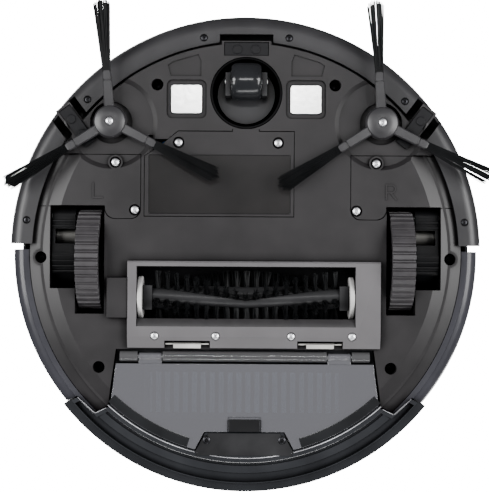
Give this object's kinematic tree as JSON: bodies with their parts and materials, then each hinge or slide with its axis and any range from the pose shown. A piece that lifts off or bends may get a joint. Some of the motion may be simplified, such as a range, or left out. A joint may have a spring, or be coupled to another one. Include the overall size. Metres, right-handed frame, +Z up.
{
  "type": "robot vacuum",
  "caption": "Round floor-cleaning robot with side brushes, a roller brush in a guard, driven wheels on sprung arms, a caster and a rear dustbin.",
  "frame": {"origin": "on the floor under the middle of the round body, where the tyres and the caster wheel stand", "axes": "+Z up, -Y forwards towards the bumper and caster, +Y back towards the dustbin, +X towards the wheel cover marked R"},
  "size_m": [0.3262, 0.33, 0.0796],
  "materials": {
    "charcoal_plastic": "fine moulded texture, satin",
    "bumper_plastic": "fine moulded texture, satin",
    "cover_plastic": "satin with a slight gloss",
    "panel_plastic": "satin",
    "black_plastic": "smooth moulded black",
    "window_plastic": "polished infrared-pass black",
    "silver_plastic": "silver-grey moulded, satin",
    "light_plastic": "pale moulded, satin",
    "smoke_clear": "smoky clear moulding",
    "bin_plastic": "smoky dark moulding, polished",
    "tyre_rubber": "grey rubber, matt",
    "hub_plastic": "moulded black",
    "brush_rubber": "soft black rubber",
    "bristle_black": "nylon bristle",
    "steel": "bright zinc plate",
    "motor_steel": "drawn steel can",
    "contact_metal": "bright nickel plate",
    "gear_nylon": "natural nylon",
    "brass": "turned",
    "cell_wrap": "shrink sleeve",
    "board_green": "solder mask",
    "filter_paper": "pleated paper",
    "filter_blue": "moulded blue-grey",
    "caster_plastic": "dark grey, polished",
    "fork_plastic": "moulded grey",
    "light_ring": "translucent white"
  },
  "bodies": {
    "body": {"chassis": "charcoal_plastic", "wheel_wells": "black_plastic", "brush_chamber": "black_plastic", "bin_bay": "charcoal_plastic", "top_cover": "cover_plastic", "side_panels": "panel_plastic", "vent_grilles": "black_plastic", "wheel_covers": "charcoal_plastic", "battery_cover": "charcoal_plastic", "battery_pack": "cell_wrap", "main_board": "board_green", "caster_cup": "black_plastic", "charge_contacts": "contact_metal", "cliff_sensors": "window_plastic", "brush_motors": "motor_steel", "brush_gearbox": "charcoal_plastic", "fan_housing": "black_plastic", "fan_motor": "motor_steel", "bumper_switches": "black_plastic", "button_ring": "light_ring", "cover_screws": "steel", "chassis_screws": "black_plastic", "arm_pivots": "steel", "suspension_springs": "steel"},
    "bumper": {"bumper": "bumper_plastic", "bumper_window": "window_plastic"},
    "wheel_arm_left": {"wheel_gearbox_left": "black_plastic", "wheel_motor_left": "motor_steel"},
    "wheel_left": {"tyre_left": "tyre_rubber", "wheel_hub_left": "hub_plastic"},
    "wheel_arm_right": {"wheel_gearbox_right": "black_plastic", "wheel_motor_right": "motor_steel"},
    "wheel_right": {"tyre_right": "tyre_rubber", "wheel_hub_right": "hub_plastic"},
    "caster_fork": {"caster_fork": "fork_plastic", "caster_axle": "steel"},
    "caster_wheel": {"caster_wheel": "caster_plastic"},
    "side_brush_left": {"side_brush_left": "brush_rubber", "side_bristles_left": "bristle_black"},
    "side_brush_right": {"side_brush_right": "brush_rubber", "side_bristles_right": "bristle_black"},
    "main_brush": {"brush_core": "black_plastic", "brush_bristles": "bristle_black", "brush_end_discs": "light_plastic", "brush_gear": "gear_nylon"},
    "idler_gear": {"idler_gear": "gear_nylon"},
    "pinion": {"pinion": "brass"},
    "impeller": {"impeller": "black_plastic"},
    "brush_guard": {"brush_guard": "silver_plastic"},
    "guard_latch_left": {"guard_latch_left": "light_plastic"},
    "guard_latch_right": {"guard_latch_right": "light_plastic"},
    "dustbin": {"dustbin_body": "bin_plastic", "filter_frame": "filter_blue", "filter_pad": "filter_paper", "bin_hinge_pin": "steel"},
    "bin_button": {"bin_button": "black_plastic"},
    "dustbin_door": {"dustbin_door": "smoke_clear"},
    "bin_latch": {"bin_latch": "black_plastic"},
    "clean_button": {"clean_button": "cover_plastic"},
    "power_switch": {"power_switch": "black_plastic"}
  },
  "joints": [
    {"name": "bumper_press", "type": "slide", "parent": "body", "child": "bumper", "axis": [0, 1, 0], "range_m": [0, 0.003], "stiffness_N_per_m": 600, "springref_m": -0.001},
    {"name": "wheel_left_drop", "type": "hinge", "parent": "body", "child": "wheel_arm_left", "pos_m": [-0.1256, -0.026, 0.028], "axis": [-1, 0, 0], "range_deg": [0, 18], "stiffness_Nm_per_rad": 0.25, "springref_deg": 24.98, "deforming": ["suspension_springs"]},
    {"name": "wheel_left_spin", "type": "hinge", "parent": "wheel_arm_left", "child": "wheel_left", "pos_m": [-0.1077, 0.004, 0.035], "axis": [1, 0, 0], "continuous": true},
    {"name": "wheel_right_drop", "type": "hinge", "parent": "body", "child": "wheel_arm_right", "pos_m": [0.1256, -0.026, 0.028], "axis": [-1, 0, 0], "range_deg": [0, 18], "stiffness_Nm_per_rad": 0.25, "springref_deg": 24.98, "deforming": ["suspension_springs"]},
    {"name": "wheel_right_spin", "type": "hinge", "parent": "wheel_arm_right", "child": "wheel_right", "pos_m": [0.1077, 0.004, 0.035], "axis": [1, 0, 0], "continuous": true},
    {"name": "caster_swivel", "type": "hinge", "parent": "body", "child": "caster_fork", "pos_m": [0, -0.1109, 0.031], "axis": [0, 0, 1], "continuous": true},
    {"name": "caster_roll", "type": "hinge", "parent": "caster_fork", "child": "caster_wheel", "pos_m": [0, -0.1183, 0.013], "axis": [1, 0, 0], "continuous": true},
    {"name": "side_brush_left_spin", "type": "hinge", "parent": "body", "child": "side_brush_left", "pos_m": [-0.0929, -0.0903, 0.01], "axis": [0, 0, 1], "continuous": true},
    {"name": "side_brush_right_spin", "type": "hinge", "parent": "body", "child": "side_brush_right", "pos_m": [0.0929, -0.0903, 0.01], "axis": [0, 0, 1], "continuous": true},
    {"name": "main_brush_spin", "type": "hinge", "parent": "body", "child": "main_brush", "pos_m": [0, 0.03, 0.024], "axis": [1, 0, 0], "continuous": true},
    {"name": "idler_spin", "type": "hinge", "parent": "body", "child": "idler_gear", "pos_m": [-0.0875, 0.03, 0.0464], "axis": [1, 0, 0], "continuous": true},
    {"name": "pinion_spin", "type": "hinge", "parent": "body", "child": "pinion", "pos_m": [-0.0875, 0.03, 0.0644], "axis": [1, 0, 0], "continuous": true},
    {"name": "impeller_spin", "type": "hinge", "parent": "body", "child": "impeller", "pos_m": [0.025, 0.03, 0.058], "axis": [0, 0, 1], "continuous": true},
    {"name": "guard_open", "type": "hinge", "parent": "body", "child": "brush_guard", "pos_m": [0, 0.0066, 0.0128], "axis": [-1, 0, 0], "range_deg": [0, 35]},
    {"name": "guard_latch_left_press", "type": "slide", "parent": "brush_guard", "child": "guard_latch_left", "axis": [0, -1, 0], "range_m": [0, 0.0015], "stiffness_N_per_m": 200, "springref_m": -0.001},
    {"name": "guard_latch_right_press", "type": "slide", "parent": "brush_guard", "child": "guard_latch_right", "axis": [0, -1, 0], "range_m": [0, 0.0015], "stiffness_N_per_m": 200, "springref_m": -0.001},
    {"name": "dustbin_slide", "type": "slide", "parent": "body", "child": "dustbin", "axis": [0, 1, 0], "range_m": [0, 0.12]},
    {"name": "bin_button_press", "type": "slide", "parent": "dustbin", "child": "bin_button", "axis": [0, -1, 0], "range_m": [0, 0.002], "stiffness_N_per_m": 300, "springref_m": -0.001},
    {"name": "dustbin_door_open", "type": "hinge", "parent": "dustbin", "child": "dustbin_door", "pos_m": [0, 0.0705, 0.0174], "axis": [-1, 0, 0], "range_deg": [0, 80]},
    {"name": "bin_latch_press", "type": "slide", "parent": "dustbin_door", "child": "bin_latch", "axis": [0, -1, 0], "range_m": [0, 0.0015], "stiffness_N_per_m": 200, "springref_m": -0.001},
    {"name": "clean_button_press", "type": "slide", "parent": "body", "child": "clean_button", "axis": [0, 0, -1], "range_m": [0, 0.0012], "stiffness_N_per_m": 600, "springref_m": -0.001},
    {"name": "power_switch_rock", "type": "hinge", "parent": "body", "child": "power_switch", "pos_m": [0.15508, 0.0218, 0.05], "axis": [-0.1392, 0.9903, 0], "range_deg": [0, 10]}
  ],
  "couplings": [
    {"joint": "idler_spin", "follows": "main_brush_spin", "ratio": -1},
    {"joint": "pinion_spin", "follows": "main_brush_spin", "ratio": 1.6471}
  ]
}
